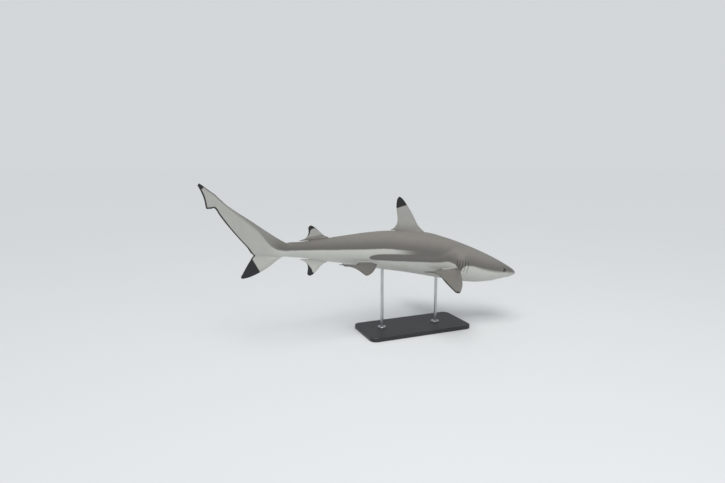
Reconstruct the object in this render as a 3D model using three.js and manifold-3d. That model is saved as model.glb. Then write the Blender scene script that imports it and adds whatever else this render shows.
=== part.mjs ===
import * as THREE from 'three';
import { ParametricGeometry } from 'three/addons/geometries/ParametricGeometry.js';
import { mergeVertices } from 'three/addons/utils/BufferGeometryUtils.js';
import Module from 'manifold-3d';

const wasm = await Module();
wasm.setup();

// Named sizes. The animal is laid out on a bent axis: "station" is the distance
// back from the snout tip along that axis, "side" is out to its left and "rise"
// is up, all three in units of UNIT millimetres.
const UNIT = 13.25;
const GAP = 0.3;

// The axis at AXIS_STATION stands over this point, heading along +X.
const AXIS_STATION = 40;
const AXIS_POINT = new THREE.Vector3(-70, 12, 316);
const NOSE_DOWN = 8;
const BANK = 0.5;

// Heading (+ to the animal's left) and climb of the axis, in degrees.
const HEADING = [[0, -12.3], [20, -11.7], [40, 0], [60, 8.2], [80, 9.3], [100, 9.3]];
const CLIMB = [[0, -3.5], [20, -3.5], [40, 0], [60, 2.5], [80, 3.1], [100, 2.5]];

// Body outline: rise of the back and of the belly, half the width, the level of
// the widest line, and how square the lower half of the section is (2 = ellipse).
const BACK = [[0, -0.84], [0.4, -0.2], [1.2, 0.3], [3, 1.05], [6.5, 2.3], [10.5, 3.48], [15, 4.58],
  [20, 5.57], [25, 6.35], [31, 6.96], [36, 6.84], [44, 6.12], [50, 5.3], [55, 4.48], [63, 3.22],
  [68, 2.5], [71, 2.1], [75, 1.95]];
const BELLY = [[0, -0.84], [0.4, -1.5], [1.2, -1.85], [3, -2.4], [6.5, -3.63], [10.5, -5.0],
  [15, -5.8], [20, -6.12], [25, -6.14], [31, -5.96], [36, -5.7], [44, -5.28], [50, -4.62],
  [55, -4.04], [63, -3.17], [68, -2.47], [71, -2.13], [75, -1.84]];
const HALF_WIDTH = [[0, 0], [0.4, 1.15], [1.2, 2.1], [3, 3.5], [6.5, 4.9], [10.5, 5.7], [15, 6.05],
  [20, 6.1], [25, 5.95], [31, 5.6], [36, 5.2], [44, 4.45], [50, 3.8], [55, 3.2], [63, 2.3],
  [68, 1.8], [71, 1.58], [75, 1.32]];
const WIDEST_LEVEL = [[0, -0.84], [3, -0.85], [10.5, -0.9], [20, -0.6], [31, 0.1], [44, 0.2], [75, 0]];
const SQUARENESS = [[0, 2], [3, 2.3], [8, 2.6], [20, 2.3], [40, 2.1], [75, 2]];

// Where the body is parted into head, trunk and tail stalk.
const NECK_STATION = 22.6;
const VENT_STATION = 54;
const PEDUNCLE_STATION = 75;

// Fins on the midline, root to tip. Each row is a section of the fin:
// [leading station, leading rise, trailing station, trailing rise, half thickness].
const FIRST_DORSAL = [
  [31.0, 5.5, 40.7, 5.3, 0.62], [31.9, 6.95, 41.0, 6.55, 0.62], [32.8, 7.55, 43.0, 6.5, 0.58],
  [33.6, 8.15, 42.05, 7.0, 0.54], [34.6, 9.1, 41.1, 8.4, 0.48], [35.9, 10.9, 41.1, 10.2, 0.4],
  [37.2, 12.6, 41.6, 12.1, 0.31], [38.6, 14.25, 42.0, 13.9, 0.23], [39.8, 15.5, 42.0, 15.2, 0.16],
  [40.6, 16.15, 41.85, 15.9, 0.1], [41.1, 16.4, 41.5, 16.4, 0.05]];
const SECOND_DORSAL = [
  [61.8, 2.2, 68.0, 1.5, 0.4], [62.2, 3.42, 68.1, 2.55, 0.4], [63.1, 3.72, 71.2, 2.34, 0.35],
  [64.1, 4.15, 69.9, 2.8, 0.3], [64.95, 4.8, 68.9, 3.5, 0.24], [65.9, 5.5, 68.5, 4.5, 0.18],
  [66.8, 6.12, 68.6, 5.5, 0.12], [67.55, 6.5, 68.6, 6.15, 0.08], [67.9, 6.62, 68.25, 6.52, 0.05]];
const ANAL = [
  [62.0, -2.0, 67.5, -1.5, 0.38], [62.2, -3.36, 67.7, -2.6, 0.38], [63.0, -3.7, 70.6, -2.6, 0.33],
  [63.65, -4.15, 69.4, -3.1, 0.28], [64.35, -4.8, 68.3, -3.9, 0.22], [65.1, -5.7, 67.95, -4.95, 0.17],
  [65.95, -6.55, 67.98, -6.1, 0.11], [66.6, -7.03, 67.92, -6.8, 0.08], [67.05, -7.2, 67.5, -7.15, 0.05]];
const LOWER_LOBE = [
  [75.4, -0.8, 83.1, -0.6, 0.5], [75.8, -1.95, 83.5, -1.55, 0.48], [77.0, -2.8, 83.9, -2.2, 0.44],
  [78.8, -4.25, 84.4, -3.1, 0.38], [80.6, -5.4, 85.0, -4.2, 0.31], [82.4, -6.35, 85.6, -5.4, 0.23],
  [84.0, -7.0, 86.1, -6.4, 0.15], [85.3, -7.32, 86.35, -6.95, 0.09], [85.9, -7.4, 86.25, -7.25, 0.05]];
// The upper lobe has the same rows, upper edge first, and carries the end of the spine.
const UPPER_LOBE = [
  [75.03, 1.95, 75.03, -1.84, 1.32], [76.3, 2.55, 77.2, -1.85, 1.1], [77.8, 3.35, 79.5, -1.75, 0.9],
  [79.3, 4.22, 81.6, -1.65, 0.76], [80.6, 5.0, 83.35, -1.5, 0.67], [81.9, 5.75, 85.06, 0.5, 0.58],
  [84.2, 7.15, 87.08, 2.54, 0.49], [87.4, 8.97, 89.72, 5.32, 0.4], [90.6, 10.87, 92.31, 8.32, 0.32],
  [92.5, 12.35, 93.79, 10.15, 0.27], [93.15, 12.9, 94.72, 9.97, 0.26],
  [93.75, 13.4, 95.6, 9.92, 0.24], [94.6, 13.95, 96.03, 11.15, 0.21],
  [95.5, 14.5, 96.45, 12.6, 0.17], [97.0, 15.5, 97.4, 14.4, 0.12],
  [97.65, 15.86, 98.0, 15.35, 0.06]];

// Paired fins lie in a plane hung from the flank. Rows are
// [leading station, leading reach, trailing station, trailing reach, half thickness],
// with stations counted from the front of the root and reach measured out along the fin.
const PECTORAL = [
  [-0.3, -1.6, 5.6, -1.6, 0.62], [0.0, 0.1, 6.0, 0.1, 0.62], [0.25, 0.8, 12.5, 1.0, 0.58],
  [0.55, 2.0, 9.5, 2.1, 0.52], [1.2, 4.4, 8.45, 4.2, 0.45], [2.1, 7.3, 8.5, 7.0, 0.37],
  [3.25, 10.4, 8.6, 9.8, 0.29], [4.6, 13.0, 8.5, 12.5, 0.21], [5.8, 14.9, 8.4, 14.4, 0.15],
  [6.6, 15.8, 8.25, 15.5, 0.1], [7.15, 16.15, 7.95, 16.05, 0.06]];
const PELVIC = [
  [-0.9, -1.2, 5.0, -1.2, 0.4], [-0.7, 0.1, 5.4, 0.05, 0.4], [-0.2, 0.8, 11.9, 0.4, 0.36],
  [0.4, 1.6, 9.5, 0.9, 0.31], [1.35, 2.6, 7.6, 1.5, 0.25], [2.4, 3.45, 6.35, 2.4, 0.18],
  [3.4, 4.05, 5.6, 3.3, 0.12], [4.05, 4.33, 5.05, 4.0, 0.08], [4.45, 4.4, 4.75, 4.3, 0.05]];
const PECTORAL_ROOT = { station: 20.2, side: 5.2, rise: -2.45, droop: 12, rearDown: 7.5 };
const PELVIC_ROOT = { station: 48.3, side: 2.85, rise: -3.75, droop: 35, rearDown: -1.8 };
const THINNEST = 0.35 / UNIT;

// Features of the head.
const EYE = { station: 6.0, turn: 76, length: 1.9, height: 1.4, depth: 1.1, sunk: 0.3 };
const GILL_STATIONS = [18.3, 19.3, 20.25, 21.15, 21.95];
const GILL_TOP = [76, 75, 75, 76, 78];
const GILL_BOTTOM = [112, 111, 106, 102, 100];
const MOUTH = { front: 6.6, corner: 10.8, halfWidth: 4.3 };
const NOSTRIL = { station: 3.3, side: 2.85, length: 0.85, width: 0.36, depth: 0.3 };

// Display stand, in millimetres.
const BASE = { length: 440, width: 200, height: 16, corner: 24, bevel: 2 };
const ROD = { radius: 6, footRadius: 17, footHeight: 4, stations: [25.5, 44] };

// Reading the tables and placing points on the bent axis.
const radians = THREE.MathUtils.degToRad;

// Smooth value of a table at x, never overshooting its entries.
function reading(table, x) {
  const last = table.length - 1;
  if (x <= table[0][0]) return table[0][1];
  if (x >= table[last][0]) return table[last][1];
  const slope = (i) => (table[i + 1][1] - table[i][1]) / (table[i + 1][0] - table[i][0]);
  const tangent = (i) => {
    if (i === 0) return slope(0);
    if (i === last) return slope(last - 1);
    const before = slope(i - 1);
    const after = slope(i);
    return before * after <= 0 ? 0 : (2 * before * after) / (before + after);
  };
  let i = 0;
  while (x > table[i + 1][0]) i += 1;
  const span = table[i + 1][0] - table[i][0];
  const t = (x - table[i][0]) / span;
  const rest = 1 - t;
  return table[i][1] * (1 + 2 * t) * rest * rest + table[i + 1][1] * t * t * (3 - 2 * t)
    + span * t * rest * (tangent(i) * rest - tangent(i + 1) * t);
}

function axisDirection(station) {
  const heading = radians(reading(HEADING, station));
  const climb = radians(reading(CLIMB, station));
  return new THREE.Vector3(
    Math.cos(climb) * Math.cos(heading), Math.cos(climb) * Math.sin(heading), Math.sin(climb));
}

// The axis is summed up in fine steps from the snout backwards.
const AXIS_STEP = 0.25;
const AXIS_STEPS = 408;
const axisPoints = [new THREE.Vector3()];
for (let i = 1; i <= AXIS_STEPS; i += 1) {
  const forward = axisDirection((i - 0.5) * AXIS_STEP);
  axisPoints.push(axisPoints[i - 1].clone().addScaledVector(forward, -AXIS_STEP));
}

function axisPoint(station) {
  const at = THREE.MathUtils.clamp(station / AXIS_STEP, 0, AXIS_STEPS - 0.001);
  const i = Math.floor(at);
  return axisPoints[i].clone().lerp(axisPoints[i + 1], at - i);
}

const axisOrigin = axisPoint(AXIS_STATION);
const attitude = new THREE.Matrix4().makeRotationY(radians(NOSE_DOWN));
attitude.multiply(new THREE.Matrix4().makeRotationX(radians(-BANK)));

// A point given by station, side and rise, placed in millimetres.
function placed(station, side, rise) {
  const forward = axisDirection(station);
  const left = new THREE.Vector3(0, 0, 1).cross(forward).normalize();
  const up = forward.clone().cross(left);
  const point = axisPoint(station).sub(axisOrigin);
  point.addScaledVector(left, side).addScaledVector(up, rise);
  return point.applyMatrix4(attitude).multiplyScalar(UNIT).add(AXIS_POINT);
}

// Solids.
function manifoldOf(geometry) {
  const plain = new THREE.BufferGeometry();
  plain.setAttribute('position', geometry.getAttribute('position'));
  if (geometry.index) plain.setIndex(geometry.index);
  const welded = mergeVertices(plain, 1e-4);
  const position = welded.getAttribute('position');
  const corners = Array.from(welded.index.array);
  let volume = 0;
  const kept = [];
  const a = new THREE.Vector3();
  const b = new THREE.Vector3();
  const c = new THREE.Vector3();
  for (let i = 0; i < corners.length; i += 3) {
    const [p, q, r] = corners.slice(i, i + 3);
    if (p === q || q === r || r === p) continue;
    kept.push([p, q, r]);
    a.fromBufferAttribute(position, p);
    b.fromBufferAttribute(position, q);
    c.fromBufferAttribute(position, r);
    volume += a.dot(b.cross(c));
  }
  const facing = volume < 0 ? kept.map(([p, q, r]) => [p, r, q]) : kept;
  return new wasm.Manifold(new wasm.Mesh({
    numProp: 3,
    vertProperties: Float32Array.from(position.array),
    triVerts: Uint32Array.from(facing.flat()),
  }));
}

// A closed skin over rings of points. The rings before the first and after the
// last shrink to the middle of their neighbour, which closes the ends.
function lofted(rings, around, pointOf) {
  const loops = rings.map((ring) => {
    const loop = [];
    for (let k = 0; k < around; k += 1) loop.push(pointOf(ring, k / around));
    return loop;
  });
  const middle = (loop) => loop.reduce((sum, p) => sum.add(p), new THREE.Vector3())
    .divideScalar(loop.length);
  const first = middle(loops[0]);
  const last = middle(loops[loops.length - 1]);
  const stacks = loops.length + 1;
  const geometry = new ParametricGeometry((u, v, target) => {
    const row = Math.round(v * stacks) - 1;
    const column = Math.round(u * around) % around;
    if (row < 0) target.copy(first);
    else if (row >= loops.length) target.copy(last);
    else target.copy(loops[row][column]);
  }, around, stacks);
  return manifoldOf(geometry);
}

// Point on the body at a station; turn is 0 at the back, a quarter on the left
// flank and a half at the belly; lift stands off the skin.
function bodySpot(station, turn, lift = 0) {
  const angle = turn * 2 * Math.PI;
  const across = Math.sin(angle);
  const along = Math.cos(angle);
  const square = along < 0 ? reading(SQUARENESS, station) : 2;
  const level = reading(WIDEST_LEVEL, station);
  const reach = along < 0 ? level - reading(BELLY, station) : reading(BACK, station) - level;
  const side = Math.sign(across) * Math.abs(across) ** (2 / square) * (reading(HALF_WIDTH, station) + lift);
  const rise = level + Math.sign(along) * Math.abs(along) ** (2 / square) * (reach + lift);
  return { station, side, rise };
}

function bodyPoint(station, turn, lift = 0) {
  const spot = bodySpot(station, turn, lift);
  return placed(spot.station, spot.side, spot.rise);
}

// Turn at which the lower half of the body reaches a given side.
function turnUnder(station, side) {
  const share = Math.min(Math.abs(side) / reading(HALF_WIDTH, station), 1);
  const angle = Math.PI - Math.asin(share ** (reading(SQUARENESS, station) / 2));
  return (Math.sign(side) * angle) / (2 * Math.PI);
}

function stationsBetween(from, to, count) {
  const stations = [];
  for (let i = 0; i <= count; i += 1) stations.push(from + ((to - from) * i) / count);
  return stations;
}

function bodySolid(stations, around, lift = 0) {
  return lofted(stations, around, (station, turn) => bodyPoint(station, turn, lift));
}

// Half thickness across a fin section, 0 at the leading edge to 1 at the trailing one.
function finFullness(share) {
  return share < 0.25 ? Math.sqrt(share / 0.25) * (1.25 - share) : (1 - share) / 0.75;
}

// Rows between root and tip are joined round a section that runs down one side of
// the fin and back up the other; toPlace puts (station, height, thickness) in place.
function finSolid(rows, around, toPlace) {
  return lofted(rows, around, (row, turn) => {
    const [leadStation, leadHeight, trailStation, trailHeight, half] = row;
    const share = (1 - Math.cos(turn * 2 * Math.PI)) / 2;
    const side = turn > 0 && turn < 0.5 ? 1 : -1;
    const ends = turn === 0 || turn === 0.5;
    const thick = ends ? 0 : Math.max(half * finFullness(share), Math.min(THINNEST, half));
    return toPlace(
      leadStation + (trailStation - leadStation) * share,
      leadHeight + (trailHeight - leadHeight) * share,
      side * thick);
  });
}

function midlineFin(rows, around) {
  return finSolid(rows, around, (station, rise, thick) => placed(station, thick, rise));
}

function pairedFin(rows, around, root, hand) {
  const droop = radians(root.droop);
  const rear = Math.tan(radians(root.rearDown));
  return finSolid(rows, around, (station, reach, thick) => placed(
    root.station + station,
    hand * (root.side + reach * Math.cos(droop) + thick * Math.sin(droop)),
    root.rise - reach * Math.sin(droop) - station * rear + thick * Math.cos(droop)));
}

// The upper lobe starts as the round tail stalk and thins to a blade.
function upperLobe(rows, around, lift = 0) {
  const bladeRow = 4;
  return lofted(rows.map((row, i) => [...row, Math.min(i / bladeRow, 1)]), around, (row, turn) => {
    const [topStation, topRise, lowStation, lowRise, half, blade] = row;
    const share = (1 - Math.cos(turn * 2 * Math.PI)) / 2;
    const round = 2 * Math.sqrt(Math.max(share * (1 - share), 0));
    const full = round * (1 - blade) + finFullness(share) * blade;
    const side = turn > 0 && turn < 0.5 ? 1 : -1;
    const ends = turn === 0 || turn === 0.5;
    const thick = ends ? 0 : Math.max(half * full, Math.min(THINNEST, half)) + lift;
    const long = Math.hypot(lowStation - topStation, lowRise - topRise);
    const spread = share + ((2 * share - 1) * lift) / long;
    return placed(
      topStation + (lowStation - topStation) * spread,
      side * thick,
      topRise + (lowRise - topRise) * spread);
  });
}

// A thin channel cutter that follows a line of points.
function channel(points, radius) {
  const curve = new THREE.CatmullRomCurve3(points);
  const count = points.length + 2;
  const frames = curve.computeFrenetFrames(count, false);
  return lofted(stationsBetween(0, 1, count), 5, (along, turn) => {
    const i = Math.round(along * count);
    const taper = radius * (0.35 + 0.65 * Math.sin(Math.PI * THREE.MathUtils.clamp(along, 0.08, 0.92)));
    const angle = turn * 2 * Math.PI;
    return curve.getPoint(along)
      .addScaledVector(frames.normals[i], Math.cos(angle) * taper)
      .addScaledVector(frames.binormals[i], Math.sin(angle) * taper);
  });
}

// An egg shape with its own length, height and depth, set at a spot of the body.
function egg(station, turn, inset, length, height, depth, grow) {
  const centre = bodyPoint(station, turn, -inset);
  const outward = bodyPoint(station, turn, 1).sub(bodyPoint(station, turn, 0)).normalize();
  const back = bodyPoint(station + 0.4, turn).sub(bodyPoint(station - 0.4, turn)).normalize();
  const upward = outward.clone().cross(back).normalize();
  const along = upward.clone().cross(outward).normalize();
  const shape = new THREE.SphereGeometry(1, 14, 8);
  shape.applyMatrix4(new THREE.Matrix4().makeScale(
    (length / 2) * UNIT + grow, (height / 2) * UNIT + grow, (depth / 2) * UNIT + grow));
  shape.applyMatrix4(new THREE.Matrix4().makeBasis(along, upward, outward));
  shape.translate(centre.x, centre.y, centre.z);
  return manifoldOf(shape);
}

// Head, trunk and tail stalk.
const AROUND = 28;
const noseStations = [0.05, 0.25, 0.6, 1.2, 2.1, 3.3, 4.7, 6.3];
const headStations = [...noseStations, ...stationsBetween(8.2, NECK_STATION - 0.012, 7)];
let head = bodySolid(headStations, AROUND);

for (const hand of [1, -1]) {
  GILL_STATIONS.forEach((station, i) => {
    const line = stationsBetween(GILL_TOP[i], GILL_BOTTOM[i], 4).map((degrees, k) => (
      bodyPoint(station - 0.25 * Math.sin((Math.PI * k) / 4), (hand * degrees) / 360, 0.02)));
    head = head.subtract(channel(line, 1.5));
  });
  head = head.subtract(egg(EYE.station, (hand * EYE.turn) / 360, EYE.sunk, EYE.length, EYE.height,
    EYE.depth, GAP));
  head = head.subtract(egg(NOSTRIL.station, turnUnder(NOSTRIL.station, hand * NOSTRIL.side), 0,
    NOSTRIL.length, NOSTRIL.width, NOSTRIL.depth, 0));
}

const mouthLine = stationsBetween(-1, 1, 12).map((share) => {
  const bend = (share * Math.PI) / 2;
  const station = MOUTH.corner - (MOUTH.corner - MOUTH.front) * Math.cos(bend) ** 1.25;
  return bodyPoint(station, turnUnder(station, MOUTH.halfWidth * Math.sin(bend)));
});
head = head.subtract(channel(mouthLine, 1.6));

const trunk = bodySolid(stationsBetween(NECK_STATION + 0.012, VENT_STATION - 0.012, 13), AROUND);
const tail = bodySolid(stationsBetween(VENT_STATION + 0.012, PEDUNCLE_STATION - 0.012, 9), AROUND);

// The whole body a little swollen: what stands on it is cut back to this.
const swollenStations = [...noseStations, ...stationsBetween(8, PEDUNCLE_STATION + 0.4, 34)];
const swollenBody = bodySolid(swollenStations, AROUND * 2, (GAP + 0.25) / UNIT);

// Fins and eyes.
const upperCaudal = upperLobe(UPPER_LOBE, 16);
const swollenCaudal = upperLobe(UPPER_LOBE, 16, GAP / UNIT);
const lowerCaudal = midlineFin(LOWER_LOBE, 14).subtract(swollenCaudal).subtract(swollenBody);
const firstDorsal = midlineFin(FIRST_DORSAL, 16).subtract(swollenBody);
const secondDorsal = midlineFin(SECOND_DORSAL, 12).subtract(swollenBody);
const anal = midlineFin(ANAL, 12).subtract(swollenBody);

function pairOf(rows, around, root) {
  return [1, -1].map((hand) => pairedFin(rows, around, root, hand).subtract(swollenBody));
}
const [pectoralLeft, pectoralRight] = pairOf(PECTORAL, 16, PECTORAL_ROOT);
const [pelvicLeft, pelvicRight] = pairOf(PELVIC, 12, PELVIC_ROOT);
const [eyeLeft, eyeRight] = [1, -1].map((hand) => (
  egg(EYE.station, (hand * EYE.turn) / 360, EYE.sunk, EYE.length, EYE.height, EYE.depth, 0)));

// Display stand: a flat base with rounded corners and two short rods.
function roundedPlate({ length, width, height, corner, bevel }) {
  const x = length / 2 - bevel;
  const y = width / 2 - bevel;
  const outline = new THREE.Shape();
  outline.moveTo(x - corner, -y);
  outline.absarc(x - corner, -y + corner, corner, -Math.PI / 2, 0);
  outline.absarc(x - corner, y - corner, corner, 0, Math.PI / 2);
  outline.absarc(-x + corner, y - corner, corner, Math.PI / 2, Math.PI);
  outline.absarc(-x + corner, -y + corner, corner, Math.PI, 1.5 * Math.PI);
  const plate = new THREE.ExtrudeGeometry(outline, {
    depth: height - 2 * bevel, bevelEnabled: true, bevelThickness: bevel, bevelSize: bevel,
    bevelSegments: 1, curveSegments: 6,
  });
  plate.translate(0, 0, bevel);
  return manifoldOf(plate);
}

function standRod(station) {
  const under = bodyPoint(station, 0.5);
  const foot = BASE.height + GAP;
  const { radius, footRadius, footHeight } = ROD;
  const profile = [[0, 0], [footRadius, 0], [footRadius, footHeight - 1], [footRadius - 1, footHeight],
    [radius, footHeight], [radius, under.z + 40 - foot], [0, under.z + 40 - foot]];
  const rod = new THREE.LatheGeometry(profile.map(([r, h]) => new THREE.Vector2(r, h)), 24);
  rod.rotateX(Math.PI / 2);
  rod.translate(under.x, under.y, foot);
  return manifoldOf(rod).subtract(swollenBody);
}

const standBase = roundedPlate(BASE);
const [rodFront, rodRear] = ROD.stations.map(standRod);

// Named meshes.
const group = new THREE.Group();
group.name = 'blacktip_reef_shark';

function finish(name, solid, color, roughness, metalness) {
  const mesh = solid.getMesh();
  const position = [];
  for (let i = 0; i < mesh.vertProperties.length; i += mesh.numProp) {
    position.push(...mesh.vertProperties.slice(i, i + 3));
  }
  const geometry = new THREE.BufferGeometry();
  geometry.setAttribute('position', new THREE.Float32BufferAttribute(position, 3));
  geometry.setIndex(Array.from(mesh.triVerts));
  geometry.computeVertexNormals();
  const node = new THREE.Mesh(geometry, new THREE.MeshStandardMaterial({ color, roughness, metalness }));
  node.name = name;
  group.add(node);
}

const SKIN = 0x8d938f;
finish('head', head, SKIN, 0.45, 0);
finish('trunk', trunk, SKIN, 0.45, 0);
finish('tail_stalk', tail, SKIN, 0.45, 0);
finish('caudal_fin_upper_lobe', upperCaudal, SKIN, 0.45, 0);
finish('caudal_fin_lower_lobe', lowerCaudal, SKIN, 0.45, 0);
finish('first_dorsal_fin', firstDorsal, SKIN, 0.45, 0);
finish('second_dorsal_fin', secondDorsal, SKIN, 0.45, 0);
finish('anal_fin', anal, SKIN, 0.45, 0);
finish('pectoral_fin_left', pectoralLeft, SKIN, 0.45, 0);
finish('pectoral_fin_right', pectoralRight, SKIN, 0.45, 0);
finish('pelvic_fin_left', pelvicLeft, SKIN, 0.45, 0);
finish('pelvic_fin_right', pelvicRight, SKIN, 0.45, 0);
finish('eye_left', eyeLeft, 0x1a1c18, 0.08, 0);
finish('eye_right', eyeRight, 0x1a1c18, 0.08, 0);
finish('stand_base', standBase, 0x2b2d2e, 0.5, 0);
finish('stand_rod_front', rodFront, 0xb4b7b9, 0.3, 1);
finish('stand_rod_rear', rodRear, 0xb4b7b9, 0.3, 1);

export default group;
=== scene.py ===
import math
import bmesh
import bpy
import numpy as np
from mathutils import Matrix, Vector


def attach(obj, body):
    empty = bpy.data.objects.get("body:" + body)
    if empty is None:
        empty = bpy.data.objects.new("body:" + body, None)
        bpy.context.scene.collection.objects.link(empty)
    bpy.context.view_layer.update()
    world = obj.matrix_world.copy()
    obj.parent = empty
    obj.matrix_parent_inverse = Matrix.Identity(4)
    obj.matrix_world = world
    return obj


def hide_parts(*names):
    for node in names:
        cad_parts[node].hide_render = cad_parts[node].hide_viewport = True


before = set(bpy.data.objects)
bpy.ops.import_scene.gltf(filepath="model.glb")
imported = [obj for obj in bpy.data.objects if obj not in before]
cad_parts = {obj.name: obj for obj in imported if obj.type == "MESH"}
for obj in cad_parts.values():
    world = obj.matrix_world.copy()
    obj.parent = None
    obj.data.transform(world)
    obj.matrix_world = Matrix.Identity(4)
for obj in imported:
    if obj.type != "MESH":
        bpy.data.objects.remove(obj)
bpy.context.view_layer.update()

print("frame loaded")

# The animal is laid out straight first: station back from the snout, side out to its
# left and rise up, all in units. The finished skin is then bent along the swimming axis.
bodyPlan = {
    "unit": 0.01325,                      # metres in one unit
    "axisStation": 40.0,                  # the station that stands over axisPoint
    "axisPoint": (-0.070, 0.012, 0.316),
    "noseDown": 8.0,                      # degrees
    "bank": 0.5,
    "heading": [(0, -12.3), (20, -11.7), (40, 0), (60, 8.2), (80, 9.3), (100, 9.3)],
    "climb": [(0, -3.5), (20, -3.5), (40, 0), (60, 2.5), (80, 3.1), (100, 2.5)],
    "back": [(0, -0.84), (0.4, -0.2), (1.2, 0.3), (3, 1.05), (6.5, 2.3), (10.5, 3.48), (15, 4.58),
             (20, 5.57), (25, 6.35), (31, 6.96), (36, 6.84), (44, 6.12), (50, 5.3), (55, 4.48),
             (63, 3.22), (68, 2.5), (71, 2.1), (75, 1.95)],
    "belly": [(0, -0.84), (0.4, -1.5), (1.2, -1.85), (3, -2.4), (6.5, -3.63), (10.5, -5), (15, -5.8),
              (20, -6.12), (25, -6.14), (31, -5.96), (36, -5.7), (44, -5.28), (50, -4.62), (55, -4.04),
              (63, -3.17), (68, -2.47), (71, -2.13), (75, -1.84)],
    "halfWidth": [(0, 0), (0.4, 1.15), (1.2, 2.1), (3, 3.5), (6.5, 4.9), (10.5, 5.7), (15, 6.05),
                  (20, 6.1), (25, 5.95), (31, 5.6), (36, 5.2), (44, 4.45), (50, 3.8), (55, 3.2),
                  (63, 2.3), (68, 1.8), (71, 1.58), (75, 1.32)],
    "widestLevel": [(0, -0.84), (3, -0.85), (10.5, -0.9), (20, -0.6), (31, 0.1), (44, 0.2), (75, 0)],
    "squareness": [(0, 2), (3, 2.3), (8, 2.6), (20, 2.3), (40, 2.1), (75, 2)],
    "tip": 0.4,                           # the snout is rounded over its first stretch
    "columns": 36,                        # edge loops along the body, one on the back and one on the belly
    "rings": [0.03, 0.15, 0.4, 0.8, 1.3, 1.9, 2.5, 3.1, 3.7, 4.3, 4.9, 5.5, 6.1, 6.7, 7.3, 7.9, 8.5,
              9.1, 9.7, 10.3, 10.9, 11.6, 12.4, 13.3, 14.3, 15.4, 16.4, 17.3, 18.1, 18.8, 19.5,
              20.2, 20.8, 21.5, 22.3, 23.2, 24.2, 25.2, 26.2, 27.3, 28.7, 30.1, 31.2,
              31.9, 32.6, 33.6, 34.8, 36.1, 37.4, 38.7, 39.9, 41.0, 42.0, 43.4, 44.9, 46.4,
              47.6, 48.4, 49.4, 50.5, 51.6, 52.7, 53.7, 55.0, 57.0, 59.0, 60.8,
              62.2, 62.8, 63.6, 64.6, 65.7, 66.8, 67.8, 69.0, 70.6, 72.2, 73.5, 74.4],
}


def reading(table, x):
    # a smooth curve through the table that never overshoots its points
    knots = np.array([row[0] for row in table], float)
    values = np.array([row[1] for row in table], float)
    slopes = np.diff(values) / np.diff(knots)
    tangents = np.zeros(len(knots))
    tangents[0], tangents[-1] = slopes[0], slopes[-1]
    before, after = slopes[:-1], slopes[1:]
    agree = before * after > 0
    total = np.where(agree, before + after, 1.0)
    tangents[1:-1] = np.where(agree, 2 * before * after / total, 0.0)
    x = np.clip(np.asarray(x, float), knots[0], knots[-1])
    i = np.clip(np.searchsorted(knots, x, side="right") - 1, 0, len(knots) - 2)
    span = knots[i + 1] - knots[i]
    t = (x - knots[i]) / span
    rest = 1 - t
    return (values[i] * (1 + 2 * t) * rest * rest + values[i + 1] * t * t * (3 - 2 * t)
            + span * t * rest * (tangents[i] * rest - tangents[i + 1] * t))


def axisDirections(stations):
    heading = np.radians(reading(bodyPlan["heading"], stations))
    climb = np.radians(reading(bodyPlan["climb"], stations))
    return np.stack([np.cos(climb) * np.cos(heading), np.cos(climb) * np.sin(heading), np.sin(climb)], -1)


axisStep, axisEnd = 0.05, 102.0           # the axis runs on a little past the tail
axisKnots = np.arange(0, axisEnd, axisStep)
axisRun = np.vstack([np.zeros(3), -axisStep * np.cumsum(axisDirections(axisKnots[:-1] + axisStep / 2), 0)])


def axisPoints(stations):
    return np.stack([np.interp(stations, axisKnots, axisRun[:, i]) for i in range(3)], -1)


def bent(spots):
    # straight (station, side, rise) in units to the bent animal in metres
    stations = spots[:, 0]
    forward = axisDirections(stations)
    left = np.stack([-forward[:, 1], forward[:, 0], np.zeros(len(spots))], -1)
    left /= np.linalg.norm(left, axis=1)[:, None]
    up = np.cross(forward, left)
    run = axisPoints(stations) - axisPoints(np.array([bodyPlan["axisStation"]]))
    run = run + left * spots[:, 1:2] + up * spots[:, 2:3]
    down, bank = math.radians(bodyPlan["noseDown"]), math.radians(-bodyPlan["bank"])
    pitch = np.array([[math.cos(down), 0, math.sin(down)], [0, 1, 0], [-math.sin(down), 0, math.cos(down)]])
    roll = np.array([[1, 0, 0], [0, math.cos(bank), -math.sin(bank)], [0, math.sin(bank), math.cos(bank)]])
    return run @ (pitch @ roll).T * bodyPlan["unit"] + np.array(bodyPlan["axisPoint"])


def smoothStep(low, high, x):
    t = np.clip((x - low) / (high - low), 0, 1)
    return t * t * (3 - 2 * t)


def fading(ends, x):
    # a smooth change between two ends, each given as (place, value)
    (low, start), (high, end) = ends
    return start + (end - start) * smoothStep(low, high, x)


def bell(x, width):
    return np.exp(-(x / width) ** 2)


def ridge(shape, x):
    # a rounded ridge of the given height, place and width; a groove when its height is below nothing
    height, place, width = shape
    return height * bell(x - place, width)


def sectionAt(station):
    # rise of the widest line, reach above it, reach below it, half width and squareness
    level = reading(bodyPlan["widestLevel"], station)
    top = reading(bodyPlan["back"], station) - level
    low = level - reading(bodyPlan["belly"], station)
    half = reading(bodyPlan["halfWidth"], station)
    tip = bodyPlan["tip"]
    blunt = np.where(station < tip, np.minimum(np.sqrt(tip / np.clip(station, 0.001, tip)), 4), 1)
    return level, top * blunt, low * blunt, half * blunt, reading(bodyPlan["squareness"], station)


def bodySpot(station, turn):
    # turn runs in degrees from the back, round the animal's left side
    level, top, low, half, square = sectionAt(station)
    turn = math.radians(turn)
    power = 1.0 if math.cos(turn) >= 0 else 2 / float(square)
    side = float(half) * abs(math.sin(turn)) ** power * math.copysign(1, math.sin(turn))
    if math.cos(turn) >= 0:
        rise = float(level) + float(top) * math.cos(turn)
    else:
        rise = float(level) - float(low) * abs(math.cos(turn)) ** power
    return Vector((station, side, rise))


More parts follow.
